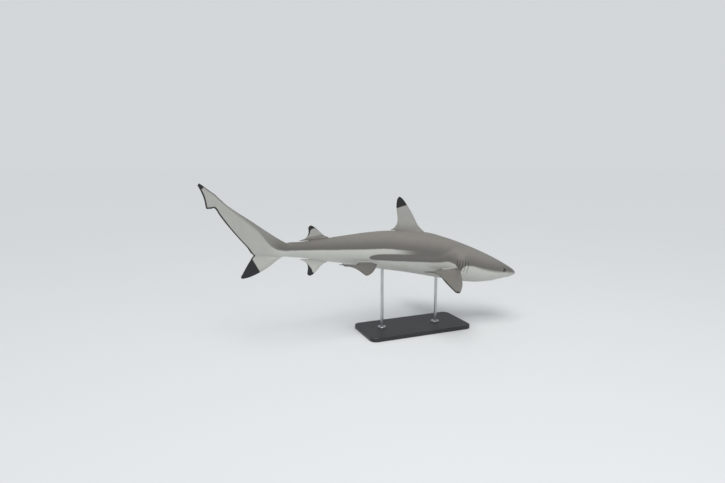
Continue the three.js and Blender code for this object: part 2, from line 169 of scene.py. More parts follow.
# Each row of a fin is one section of it, root to tip:
# leading station, leading height, trailing station, trailing height, half thickness.
# root and column: where it joins the cage. span: the stations where the skin takes the fin's own coat.
firstDorsal = {
    "rows": [(31, 5.5, 40.7, 5.3, 0.62), (31.9, 6.95, 41, 6.55, 0.62), (32.8, 7.55, 43, 6.5, 0.58),
             (33.6, 8.15, 42.05, 7, 0.54), (34.6, 9.1, 41.1, 8.4, 0.48), (35.9, 10.9, 41.1, 10.2, 0.4),
             (37.2, 12.6, 41.6, 12.1, 0.31), (38.6, 14.25, 42, 13.9, 0.23), (39.8, 15.5, 42, 15.2, 0.16),
             (40.6, 16.15, 41.85, 15.9, 0.1), (41.1, 16.4, 41.5, 16.4, 0.05)],
    "root": (31.9, 41.0), "column": 0, "span": (30, 46),
    "pinch": [(29, 0), (31.9, 0.55), (34, 0.1), (37, 0.2), (41, 0.6), (44, 0)],
    "levels": [1.35, 2, 3, 4, 5, 6, 7, 8, 9, 10],
}
secondDorsal = {
    "rows": [(61.8, 2.2, 68, 1.5, 0.4), (62.2, 3.42, 68.1, 2.55, 0.4), (63.1, 3.72, 71.2, 2.34, 0.35),
             (64.1, 4.15, 69.9, 2.8, 0.3), (64.95, 4.8, 68.9, 3.5, 0.24), (65.9, 5.5, 68.5, 4.5, 0.18),
             (66.8, 6.12, 68.6, 5.5, 0.12), (67.55, 6.5, 68.6, 6.15, 0.08), (67.9, 6.62, 68.25, 6.52, 0.05)],
    "root": (62.2, 67.8), "column": 0, "span": (60, 73),
    "pinch": [(60, 0), (62.2, 0.5), (64, 0), (66, 0.2), (67.8, 0.6), (70, 0)],
    "levels": [1.4, 2, 3, 4, 5, 6, 7, 8],
}
analFin = {
    "rows": [(62, -2, 67.5, -1.5, 0.38), (62.2, -3.36, 67.7, -2.6, 0.38), (63, -3.7, 70.6, -2.6, 0.33),
             (63.65, -4.15, 69.4, -3.1, 0.28), (64.35, -4.8, 68.3, -3.9, 0.22),
             (65.1, -5.7, 67.95, -4.95, 0.17), (65.95, -6.55, 67.98, -6.1, 0.11),
             (66.6, -7.03, 67.92, -6.8, 0.08), (67.05, -7.2, 67.5, -7.15, 0.05)],
    "root": (62.2, 67.8), "column": 18, "span": (60, 73),
    "pinch": [(60, 0), (62.2, 0.5), (64, 0), (66, 0.2), (67.8, 0.6), (70, 0)],
    "levels": [1.4, 2, 3, 4, 5, 6, 7, 8],
}
pectoralFin = {
    "rows": [(-0.3, -1.6, 5.6, -1.6, 0.62), (0, 0.1, 6, 0.1, 0.62), (0.25, 0.8, 12.5, 1, 0.58),
             (0.55, 2, 9.5, 2.1, 0.52), (1.2, 4.4, 8.45, 4.2, 0.45), (2.1, 7.3, 8.5, 7, 0.37),
             (3.25, 10.4, 8.6, 9.8, 0.29), (4.6, 13, 8.5, 12.5, 0.21), (5.8, 14.9, 8.4, 14.4, 0.15),
             (6.6, 15.8, 8.25, 15.5, 0.1), (7.15, 16.15, 7.95, 16.05, 0.06)],
    "hinge": {"station": 20.2, "side": 5.2, "rise": -2.45, "droop": 12, "rearDown": 7.5},
    "root": (20.2, 26.2), "column": 11, "span": (18, 35),
    "line": [(15, 110), (20.2, 108), (26.2, 118), (31, 113), (37, 110)],      # turn of the root line
    "pinch": [(18, 0), (20.2, 0.45), (21.5, 0.1), (24, 0.25), (26.2, 0.6), (29, 0)],
    "levels": [1.6, 2, 2.5, 3, 4, 5, 6, 7, 8, 9, 10],
}
pelvicFin = {
    "rows": [(-0.9, -1.2, 5, -1.2, 0.4), (-0.7, 0.1, 5.4, 0.05, 0.4), (-0.2, 0.8, 11.9, 0.4, 0.36),
             (0.4, 1.6, 9.5, 0.9, 0.31), (1.35, 2.6, 7.6, 1.5, 0.25), (2.4, 3.45, 6.35, 2.4, 0.18),
             (3.4, 4.05, 5.6, 3.3, 0.12), (4.05, 4.33, 5.05, 4, 0.08), (4.45, 4.4, 4.75, 4.3, 0.05)],
    "hinge": {"station": 48.3, "side": 2.85, "rise": -3.75, "droop": 35, "rearDown": -1.8},
    "root": (47.6, 53.7), "column": 14, "span": (46, 62),
    "line": [(43, 140), (48.3, 138.6), (53.7, 139), (58, 140)],
    "pinch": [(45, 0), (47.6, 0.4), (49.5, 0), (52, 0.2), (53.7, 0.5), (56, 0)],
    "levels": [1.2, 1.6, 2, 2.5, 3, 4, 5, 6, 7, 8],
}
tailFin = {
    "upperRows": [(75.03, 1.95, 75.03, -1.84, 1.32), (76.3, 2.55, 77.2, -1.85, 1.1),
                  (77.8, 3.35, 79.5, -1.75, 0.9), (79.3, 4.22, 81.6, -1.65, 0.76),
                  (80.6, 5, 83.35, -1.5, 0.67), (81.9, 5.75, 85.06, 0.5, 0.58),
                  (84.2, 7.15, 87.08, 2.54, 0.49), (87.4, 8.97, 89.72, 5.32, 0.4),
                  (90.6, 10.87, 92.31, 8.32, 0.32), (92.5, 12.35, 93.79, 10.15, 0.27),
                  (93.15, 12.9, 94.72, 9.97, 0.26), (93.75, 13.4, 95.6, 9.92, 0.24),
                  (94.6, 13.95, 96.03, 11.15, 0.21), (95.5, 14.5, 96.45, 12.6, 0.17),
                  (97, 15.5, 97.4, 14.4, 0.12), (97.65, 15.86, 98, 15.35, 0.06)],
    "lowerRows": [(75.4, -0.8, 83.1, -0.6, 0.5), (75.8, -1.95, 83.5, -1.55, 0.48),
                  (77, -2.8, 83.9, -2.2, 0.44), (78.8, -4.25, 84.4, -3.1, 0.38),
                  (80.6, -5.4, 85, -4.2, 0.31), (82.4, -6.35, 85.6, -5.4, 0.23),
                  (84, -7, 86.1, -6.4, 0.15), (85.3, -7.32, 86.35, -6.95, 0.09),
                  (85.9, -7.4, 86.25, -7.25, 0.05)],
    "rings": [0, 0.3, 0.75, 1.25, 1.8, 2.4, 3, 3.5, 4, 4.5, 5, 5.6, 6.2, 6.8, 7.4, 8, 8.5, 9, 9.5, 10,
              10.5, 11, 11.5, 12, 12.8, 13.6, 14.4, 15],
    "lowerRoot": (0.3, 4.0),
    "levels": [1.5, 2, 3, 4, 5, 6, 7, 8],
}
midlineFins = (firstDorsal, secondDorsal, analFin)
pairedFins = (pectoralFin, pelvicFin)

cagePlan = {
    "shiftReach": 4, "pinchReach": 2.2,   # how many loops away a fin's root still moves them
    "blade": (3, 6.5),                    # tail rings over which the round stalk turns into a flat blade
    "finFrom": 4.2, "tipRing": 15,        # the first tail ring that counts as fin, and the last of all
    "front": 0.035, "rear": 0.98,         # the sides of a fin's hole take its section between these shares
    "flare": 0.3, "flareEnd": 2,          # a fin is thicker at its root, and plain from this level on
    "rounds": 9, "push": 0.9,             # how often the cage is pushed out, by what part of the miss
    "weld": 1e-4,
}
columnStep = 360 / bodyPlan["columns"]
bellyColumn = bodyPlan["columns"] // 2


def rowAt(rows, place):
    return [float(reading([(i, row[column]) for i, row in enumerate(rows)], place)) for column in range(5)]


def fullness(share):
    # thickness across a fin's section: round in front, thin behind
    thickest = 0.25
    if share < thickest:
        return math.sqrt(share / thickest) * (1 + thickest - share)
    return (1 - share) / (1 - thickest)


def columnTurns(station):
    # loops gather towards a fin's root so that the fin rises out of a narrow strip
    columns = np.arange(bellyColumn + 1.0)
    turns = columnStep * columns
    for fin in pairedFins:
        centre = fin["column"]
        shift = float(reading(fin["line"], station)) - columnStep * centre
        window = columns * (bellyColumn - columns) / (centre * (bellyColumn - centre))
        turns = turns + shift * window * bell(columns - centre, cagePlan["shiftReach"])
    for fin in midlineFins + pairedFins:
        pinch = float(reading(fin["pinch"], station))
        away = columns - fin["column"]
        pull = pinch * np.exp(-(np.abs(away) - 1) ** 2 / cagePlan["pinchReach"]) * (np.abs(away) > 0)
        turns = turns - away * columnStep * pull
    turns[0], turns[-1] = 0, 180
    return turns


def bodyRing(station):
    spots = [bodySpot(station, turn) for turn in columnTurns(station)]
    return spots + [Vector((spot.x, -spot.y, spot.z)) for spot in spots[-2:0:-1]]


def tailRing(place):
    leadStation, leadRise, trailStation, trailRise, half = rowAt(tailFin["upperRows"], place)
    blade = float(smoothStep(*cagePlan["blade"], place))
    flat = place >= cagePlan["tipRing"]
    ring = []
    for column in range(bodyPlan["columns"]):
        turn = math.radians(columnStep * column)
        share = (1 - math.cos(turn)) / 2
        full = abs(math.sin(turn)) * (1 - blade) + fullness(share) * blade
        onEdge = flat or column in (0, bellyColumn)
        side = 0 if onEdge else math.copysign(half * full, math.sin(turn))
        ring.append(Vector((leadStation + (trailStation - leadStation) * share, side,
                            leadRise + (trailRise - leadRise) * share)))
    return ring


def faceOutwards(bm):
    bmesh.ops.recalc_face_normals(bm, faces=bm.faces)
    if bm.calc_volume(signed=True) < 0:
        bmesh.ops.reverse_faces(bm, faces=bm.faces)


def grow(bm, loop):
    # one more ring of faces on an open loop; returns the new loop in the same order
    edges = [bm.edges.get((loop[i - 1], loop[i])) for i in range(len(loop))]
    made = bmesh.ops.extrude_edge_only(bm, edges=edges)["geom"]
    fresh = {item for item in made if isinstance(item, bmesh.types.BMVert)}
    return [next(e.other_vert(v) for e in v.link_edges if e.other_vert(v) in fresh) for v in loop]


def finSpot(fin, place, share, face):
    leadStation, leadHeight, trailStation, trailHeight, half = rowAt(fin["rows"], place)
    flare = 1 + cagePlan["flare"] * max(0, cagePlan["flareEnd"] - place)
    thick = face * half * fullness(share) * flare
    station = leadStation + (trailStation - leadStation) * share
    height = leadHeight + (trailHeight - leadHeight) * share
    if "hinge" not in fin:
        return Vector((station, thick, height))
    hinge, droop = fin["hinge"], math.radians(fin["hinge"]["droop"])
    side = hinge["side"] + height * math.cos(droop) + thick * math.sin(droop)
    drop = height * math.sin(droop) + station * math.tan(math.radians(hinge["rearDown"]))
    return Vector((hinge["station"] + station, side, hinge["rise"] - drop + thick * math.cos(droop)))


def cutStrip(bm, rings, first, last, centre, reach):
    # opens the body over a fin's root and returns the hole's edge with each corner's share and face
    def cornerAt(ring, column):
        return rings[ring][column % bodyPlan["columns"]]

    def shareAt(ring):
        done = (cornerAt(ring, centre).co.x - start) / (cornerAt(last, centre).co.x - start)
        return cagePlan["front"] + (cagePlan["rear"] - cagePlan["front"]) * done

    start = cornerAt(first, centre).co.x
    faces = set()
    for ring in range(first, last):
        for column in range(centre - reach, centre + reach):
            corners = [cornerAt(ring, column), cornerAt(ring, column + 1),
                       cornerAt(ring + 1, column + 1), cornerAt(ring + 1, column)]
            faces |= set(corners[0].link_faces).intersection(*[c.link_faces for c in corners[1:]])
    across = [(column, ((column - centre) / reach) ** 2, int(np.sign(centre - column)))
              for column in range(centre - reach + 1, centre + reach)]
    loop = [(cornerAt(ring, centre - reach), shareAt(ring), 1) for ring in range(first, last + 1)]
    loop += [(cornerAt(last, column), 1 - (1 - cagePlan["rear"]) * out, face) for column, out, face in across]
    loop += [(cornerAt(ring, centre + reach), shareAt(ring), -1) for ring in range(last, first - 1, -1)]
    loop += [(cornerAt(first, column), cagePlan["front"] * out, face) for column, out, face in across[::-1]]
    bmesh.ops.delete(bm, geom=list(faces), context="FACES")
    return loop


def growFin(bm, loop, levels, place, onFin):
    # place(level, share, face) puts each corner of each level
    corners = [corner for corner, share, face in loop]
    for level in levels:
        corners = grow(bm, corners)
        for corner, (old, share, face) in zip(corners, loop):
            corner.co = place(level, share, 0 if level == levels[-1] else face)
            corner[onFin] = 1.0
    bmesh.ops.remove_doubles(bm, verts=corners, dist=cagePlan["weld"])


def growBody(bm, onFin):
    # rings from the snout to the stalk, then on along the upper lobe to its tip
    made = bmesh.ops.create_circle(bm, cap_ends=True, cap_tris=True, segments=bodyPlan["columns"], radius=1)
    rim = [v for v in made["verts"] if not all(len(e.link_faces) == 2 for e in v.link_edges)]
    hub = next(v for v in made["verts"] if v not in rim)
    hub.co = Vector((0, 0, bodyPlan["back"][0][1]))
    rim.sort(key=lambda v: math.atan2(v.co.x, v.co.y) % (2 * math.pi))
    rings = []
    for station in bodyPlan["rings"]:
        rings.append(grow(bm, rings[-1]) if rings else rim)
        for corner, spot in zip(rings[-1], bodyRing(station)):
            corner.co = spot
    for place in tailFin["rings"]:
        rings.append(grow(bm, rings[-1]))
        for corner, spot in zip(rings[-1], tailRing(place)):
            corner.co = spot
            corner[onFin] = float(place > cagePlan["finFrom"])
    bmesh.ops.remove_doubles(bm, verts=rings[-1], dist=cagePlan["weld"])
    print("body cage:", len(bm.faces), "faces")
    return rings


def openRoots(bm, rings):
    # each hole comes with its fin's levels and the rule that places the corners of a level
    stations = bodyPlan["rings"]
    holes = []
    for fin in midlineFins:
        first, last = (stations.index(s) for s in fin["root"])
        loop = cutStrip(bm, rings, first, last, fin["column"], 1)
        turned = -1 if fin["column"] == 0 else 1      # a ring runs from the back down the left side
        holes.append((loop, fin["levels"], lambda level, share, face, fin=fin, turned=turned:
                      finSpot(fin, level, share, face * turned)))
    for fin in pairedFins:
        first, last = (stations.index(s) for s in fin["root"])
        for hand in (1, -1):
            loop = cutStrip(bm, rings, first, last, hand * fin["column"] % bodyPlan["columns"], 1)

            def place(level, share, face, fin=fin, hand=hand):
                spot = finSpot(fin, level, share, face * hand)
                return Vector((spot.x, spot.y * hand, spot.z))
            holes.append((loop, fin["levels"], place))
    first, last = (len(stations) + tailFin["rings"].index(p) for p in tailFin["lowerRoot"])
    lowerLobe = {"rows": tailFin["lowerRows"]}
    holes.append((cutStrip(bm, rings, first, last, bellyColumn, 2), tailFin["levels"],
                  lambda level, share, face: finSpot(lowerLobe, level, share, face)))
    return holes


def buildCage():
    bm = bmesh.new()
    onFin = bm.verts.layers.float.new("onFin")
    rings = growBody(bm, onFin)
    for loop, levels, place in openRoots(bm, rings):
        growFin(bm, loop, levels, place, onFin)
    faceOutwards(bm)
    print("whole cage:", len(bm.faces), "faces")
    return bm


def smoothedMesh(cageMesh):
    # the cage is pushed out until its smoothed surface reaches the drawn outline
    cage = bpy.data.objects.new("skinCage", cageMesh)
    bpy.context.collection.objects.link(cage)
    subdivision = cage.modifiers.new("smooth", "SUBSURF")
    subdivision.levels = subdivision.render_levels = 2
    count = len(cageMesh.vertices)
    wanted = np.empty(count * 3)
    cageMesh.vertices.foreach_get("co", wanted)
    held = wanted.copy()
    for _ in range(cagePlan["rounds"]):
        shown = cage.evaluated_get(bpy.context.evaluated_depsgraph_get()).data
        reached = np.empty(len(shown.vertices) * 3)
        shown.vertices.foreach_get("co", reached)
        miss = wanted - reached[:count * 3]
        held = held + cagePlan["push"] * miss
        cageMesh.vertices.foreach_set("co", held)
        cageMesh.update()
        cage.update_tag()
        bpy.context.view_layer.update()
    print("outline missed by at most", round(float(np.abs(miss).max()), 3), "units")
    mesh = bpy.data.meshes.new_from_object(cage.evaluated_get(bpy.context.evaluated_depsgraph_get()))
    bpy.data.objects.remove(cage)
    return mesh


cageMesh = bpy.data.meshes.new("skinCage")
bm = buildCage()
bm.to_mesh(cageMesh)
bm.free()
skinMesh = smoothedMesh(cageMesh)
print("smoothed skin:", len(skinMesh.polygons), "faces")

# Ridges and grooves are given as (height, place, width).
# each crease entry is painted shade in a slit, groove or furrow, given like a ridge with its strength first
headPlan = {
    "eye": {"station": 6.0, "turn": 76, "length": 1.9, "height": 1.4, "depth": 1.1, "sunk": 0.3,
            "bulge": 0.05, "step": 0.4},
    "lids": {"halfLength": 0.8, "halfHeight": 0.56, "depth": 0.95, "reach": 2.2, "inside": (0.72, 1.0),
             "rim": (0.1, 1.12, 0.16), "fold": (-0.035, 1.62, 0.2), "brow": (0.1, 0.95, 0.5),
             "browRun": (1, -0.1, 1.5), "shadow": ((0.86, 0.9), (1.05, 0))},
    "gills": {"stations": (18.3, 19.3, 20.25, 21.15, 21.95), "top": (76, 75, 75, 76, 78),
              "bottom": (112, 111, 106, 102, 100), "bow": 0.22, "end": 24, "groove": (-0.34, 0.07, 0.085),
              "flap": 0.13, "flapRun": 0.5, "hollow": 0.05, "hollowRun": 0.3,
              "overlap": (0.1, -0.03, 0.07), "creaseShade": (1, 0.06, 0.09)},
    "mouth": {"front": 6.6, "corner": 10.8, "halfWidth": 4.3, "curve": 1.9, "end": 13, "under": (96, 104),
              "lip": (0.07, -0.26, 0.2), "chin": (0.05, 0.32, 0.16), "groove": (-0.34, 0.02, 0.1),
              "overlap": (0.07, -0.05, 0.09), "creaseShade": (1, 0.01, 0.12), "cornerFade": ((0.93, 1), (1.03, 0)),
              "jaw": 0.16, "jawRun": 1.1, "jawFade": ((0.8, 1), (1.0, 0))},
    "cornerFurrow": {"ahead": 0.25, "outside": 0.16, "slant": 0.25, "groove": (-0.13, 0, 0.1),
                     "run": (1, 0, 0.5), "creaseShade": (0.5, 0, 0.09), "creaseShadeRun": (1, 0, 0.45)},
    "nostril": {"station": 3.3, "side": 2.85, "halfLength": 0.46, "halfWidth": 0.15, "slant": 35,
                "depth": 0.3, "rim": (0.06, 1.6, 0.5), "under": (100, 112),
                "flap": 0.15, "flapPlace": (-0.02, -0.1), "flapSize": (0.16, 0.14)},
    "settled": {"from": (0.5, 1.0), "to": (22.8, 24.5),           # where the head follows its drawn sections
                "pectoralRoot": (18.4, 19.8), "rootTurn": (92, 100)},
    "tailPit": {"run": (-1, 74.35, 0.42), "above": (0.2, 0, 34), "below": (0.08, 180, 26)},
    "furrow": {"groove": (-0.05, 84, 9), "from": (40, 52), "to": (71, 75)},
}


def turnsOf(spots):
    # each point's turn from the back and its distance out, where 1 is the drawn outline
    level, top, low, half, square = sectionAt(spots[:, 0])
    across = np.abs(spots[:, 1]) / np.maximum(half, 1e-4)
    upward = spots[:, 2] - level
    over = upward >= 0
    tall = np.abs(upward) / np.maximum(np.where(over, top, low), 1e-4)
    power = np.where(over, 2.0, square)
    out = (across ** power + tall ** power) ** (1 / power)
    turn = np.degrees(np.arctan2(across ** (power / 2), tall ** (power / 2) * np.where(over, 1, -1)))
    return turn, out


def eyeFrame(hand):
    # centre on the body's surface, then the along, upward and outward directions, all laid out straight
    eye = headPlan["eye"]
    centre = np.array(bodySpot(eye["station"], eye["turn"] * hand))
    turn = math.radians(eye["turn"])
    outward = np.array([0, hand * math.sin(turn), math.cos(turn)])
    ahead = np.array(bodySpot(eye["station"] - eye["step"], eye["turn"] * hand))
    behind = np.array(bodySpot(eye["station"] + eye["step"], eye["turn"] * hand))
    along = behind - ahead
    along -= outward * along.dot(outward)
    along /= np.linalg.norm(along)
    upward = np.cross(along, outward) * hand
    upward *= math.copysign(1, upward[2])
    return centre, along, upward, outward


def eyeSpots(spots, hand):
    centre, along, upward, outward = eyeFrame(hand)
    away = spots - centre
    return away @ along, away @ upward, away @ outward


def mouthDistance(spots):
    # less than nothing in front of the mouth line, more behind it; and how far along to the corner
    mouth, side = headPlan["mouth"], np.abs(spots[:, 1])
    share = np.minimum(side / mouth["halfWidth"], 1)
    span = mouth["corner"] - mouth["front"]
    line = mouth["front"] + span * share ** mouth["curve"]
    slope = span * mouth["curve"] * share ** (mouth["curve"] - 1) / mouth["halfWidth"]
    beyond = np.maximum(side - mouth["halfWidth"], 0)
    away = (spots[:, 0] - line) / np.sqrt(1 + slope ** 2)
    away = np.where(beyond > 0, np.copysign(np.hypot(away, beyond), away), away)
    return away, side / mouth["halfWidth"]


def nostrilSpots(spots, hand):
    nostril = headPlan["nostril"]
    along, across = spots[:, 0] - nostril["station"], spots[:, 1] * hand - nostril["side"]
    slant = math.radians(nostril["slant"])
    turned = along * math.cos(slant) - across * math.sin(slant)
    return turned, along * math.sin(slant) + across * math.cos(slant)


def gillSpots(spots, turns, i):
    # distance behind slit i and place along it, from -1 at its top to 1 at its bottom
    gills = headPlan["gills"]
    middle = (gills["top"][i] + gills["bottom"][i]) / 2
    reach = (gills["bottom"][i] - gills["top"][i]) / 2
    along = (turns - middle) / reach
    line = gills["stations"][i] + gills["bow"] * (along ** 2 - 0.4)
    return spots[:, 0] - line, along


def detailZone(spots, grown):
    # where the head needs finer faces: round the eyes, nostrils, mouth and gill slits
    turns, out = turnsOf(spots)
    near = np.zeros(len(spots), bool)
    for hand in (1, -1):
        along, upward, outward = eyeSpots(spots, hand)
        near |= (np.hypot(along / 1.25, upward) < 0.75 + grown * 1.4) & (np.abs(outward) < 2)
        along, across = nostrilSpots(spots, hand)
        near |= (np.hypot(along, across) < 0.5 + grown) & (turns > 110)
    away, share = mouthDistance(spots)
    ahead = spots[:, 0] < headPlan["mouth"]["end"]
    near |= (np.abs(away) < 0.2 + grown) & (share < 1.08) & (turns > 98) & ahead
    for i in range(len(headPlan["gills"]["stations"])):
        behind, along = gillSpots(spots, turns, i)
        close = (behind > -0.12 - grown) & (behind < 0.2 + grown)
        near |= close & (np.abs(along) < 1.04) & (spots[:, 0] < 23)
    return near & (out < 1.15)


def refined(mesh):
    bm = bmesh.new()
    bm.from_mesh(mesh)
    for grown in (0.3, 0.0):
        centres = np.array([tuple(face.calc_center_median()) for face in bm.faces])
        near = detailZone(centres, grown)
        edges = {edge for face, chosen in zip(bm.faces, near) if chosen for edge in face.edges}
        bmesh.ops.subdivide_edges(bm, edges=list(edges), cuts=1, use_grid_fill=True)
    print("refined skin:", len(bm.faces), "faces,", sum(len(f.verts) - 2 for f in bm.faces), "triangles")
    bm.to_mesh(mesh)
    bm.free()


def coordinates(mesh):
    values = np.empty(len(mesh.vertices) * 3)
    mesh.vertices.foreach_get("co", values)
    return values.reshape(-1, 3)


def setCoordinates(mesh, spots):
    mesh.vertices.foreach_set("co", spots.reshape(-1))
    mesh.update()


def normalsOf(mesh):
    values = np.empty(len(mesh.vertices) * 3)
    mesh.vertex_normals.foreach_get("vector", values)
    return values.reshape(-1, 3)


def bodyShare(mesh):
    # 1 on the body, 0 on its fins
    values = np.empty(len(mesh.vertices))
    mesh.attributes["onFin"].data.foreach_get("value", values)
    return 1 - np.clip(values * 4, 0, 1)


def settleHead(mesh):
    # the head follows its drawn sections exactly before anything is carved
    spots = coordinates(mesh)
    turns, out = turnsOf(spots)
    level = sectionAt(spots[:, 0])[0]
    plan, station = headPlan["settled"], spots[:, 0]
    weight = smoothStep(*plan["from"], station) * (1 - smoothStep(*plan["to"], station))
    weight *= 1 - smoothStep(*plan["rootTurn"], turns) * smoothStep(*plan["pectoralRoot"], station)
    scale = 1 + (1 / np.maximum(out, 0.2) - 1) * weight * bodyShare(mesh)
    spots[:, 1] *= scale
    spots[:, 2] = level + (spots[:, 2] - level) * scale
    setCoordinates(mesh, spots)


# Each relief gives three rows for all points: how far the skin is lifted, how far it slides
# towards the tail to overlap what is behind, and how much painted shade it takes for lying deep in a slit,
# groove or hole.
def gillRelief(spots, turns):
    gills = headPlan["gills"]
    lift, slide, creaseShade = np.zeros((3, len(spots)))
    for i in range(len(gills["stations"])):
        behind, along = gillSpots(spots, turns, i)
        taper = np.sqrt(np.clip(1 - np.abs(along) ** 2.6, 0, 1)) * (spots[:, 0] < gills["end"])
        flap = np.where(behind < 0, np.exp(behind / gills["flapRun"]), 0) * gills["flap"]
        hollow = np.where(behind > 0, np.exp(-behind / gills["hollowRun"]), 0) * gills["hollow"]
        lift += (flap + ridge(gills["groove"], behind) - hollow) * taper
        slide += ridge(gills["overlap"], behind) * taper
        # painted shade deep in each gill slit
        creaseShade = np.maximum(creaseShade, ridge(gills["creaseShade"], behind) * taper)
    return lift, slide, creaseShade


def mouthRelief(spots, turns):
    mouth = headPlan["mouth"]
    away, share = mouthDistance(spots)
    under = smoothStep(*mouth["under"], turns) * (spots[:, 0] < mouth["end"])
    line = fading(mouth["cornerFade"], share) * under
    lift = sum(ridge(mouth[name], away) for name in ("lip", "chin", "groove")) * line
    jaw = np.where(away > 0, np.exp(-away / mouth["jawRun"]), 0) * fading(mouth["jawFade"], share)
    lift -= mouth["jaw"] * jaw * under                            # the lower jaw sits back under the snout
    slide = ridge(mouth["overlap"], away) * line
    # painted shade along the mouth line
    creaseShade = ridge(mouth["creaseShade"], away) * line
    furrow = headPlan["cornerFurrow"]                             # short furrows outside the mouth's corners
    for hand in (1, -1):
        run = spots[:, 0] - (mouth["corner"] - furrow["ahead"])
        wide = spots[:, 1] * hand - (mouth["halfWidth"] + furrow["outside"] + furrow["slant"] * run)
        lift += ridge(furrow["groove"], wide) * ridge(furrow["run"], run) * under
        # painted shade in each furrow outside the mouth's corners
        dark = ridge(furrow["creaseShade"], wide) * ridge(furrow["creaseShadeRun"], run) * under
        creaseShade = np.maximum(creaseShade, dark)
    return lift, slide, creaseShade


def nostrilRelief(spots, turns, hand):
    nostril = headPlan["nostril"]
    along, across = nostrilSpots(spots, hand)
    out = np.hypot(along / nostril["halfLength"], across / nostril["halfWidth"])
    hole = np.exp(-out ** 3)
    (flapAlong, flapAcross), (length, width) = nostril["flapPlace"], nostril["flapSize"]
    flap = np.exp(-np.hypot((along - flapAlong) / length, (across - flapAcross) / width) ** 3)
    low = smoothStep(*nostril["under"], turns)
    lift = ridge(nostril["rim"], out) + nostril["flap"] * flap - nostril["depth"] * hole
    # the third row is painted shade inside the nostril, kept off its flap
    return lift * low, np.zeros(len(spots)), hole * (1 - flap) * low


def lidRelief(spots, hand):
    lids = headPlan["lids"]
    along, upward, outward = eyeSpots(spots, hand)
    out = np.hypot(along / lids["halfLength"], upward / lids["halfHeight"])
    here = (np.abs(outward) < lids["reach"]) & (spots[:, 1] * hand > 0)
    socket = lids["depth"] * (1 - smoothStep(*lids["inside"], out))
    brow = ridge(lids["brow"], upward) * ridge(lids["browRun"], along)
    lift = ridge(lids["rim"], out) + ridge(lids["fold"], out) + brow - socket
    return lift * here, np.zeros(len(spots)), fading(lids["shadow"], out) * here


def stalkRelief(spots, turns):
    # the pits in front of the tail, and the faint furrow along the side
    station = spots[:, 0]
    pit, furrow = headPlan["tailPit"], headPlan["furrow"]
    lift = ridge(pit["run"], station) * (ridge(pit["above"], turns) + ridge(pit["below"], turns))
    run = smoothStep(*furrow["from"], station) * (1 - smoothStep(*furrow["to"], station))
    lift += ridge(furrow["groove"], turns) * run
    return lift, np.zeros(len(spots)), np.zeros(len(spots))


def carve(mesh):
    spots = coordinates(mesh)
    turns, out = turnsOf(spots)
    reliefs = [gillRelief(spots, turns), mouthRelief(spots, turns), stalkRelief(spots, turns)]
    for hand in (1, -1):
        reliefs += [nostrilRelief(spots, turns, hand), lidRelief(spots, hand)]
    reliefs = np.array(reliefs) * bodyShare(mesh)
    shift = normalsOf(mesh) * reliefs[:, 0].sum(0)[:, None]
    shift[:, 0] += reliefs[:, 1].sum(0)
    setCoordinates(mesh, spots + shift)
    # the third rows are kept as painted shade for slits, grooves, holes and round the eyes
    mesh.attributes.new("creaseShade", "FLOAT", "POINT").data.foreach_set("value", reliefs[:, 2].max(0))


refined(skinMesh)
settleHead(skinMesh)
carve(skinMesh)
print("head carved")

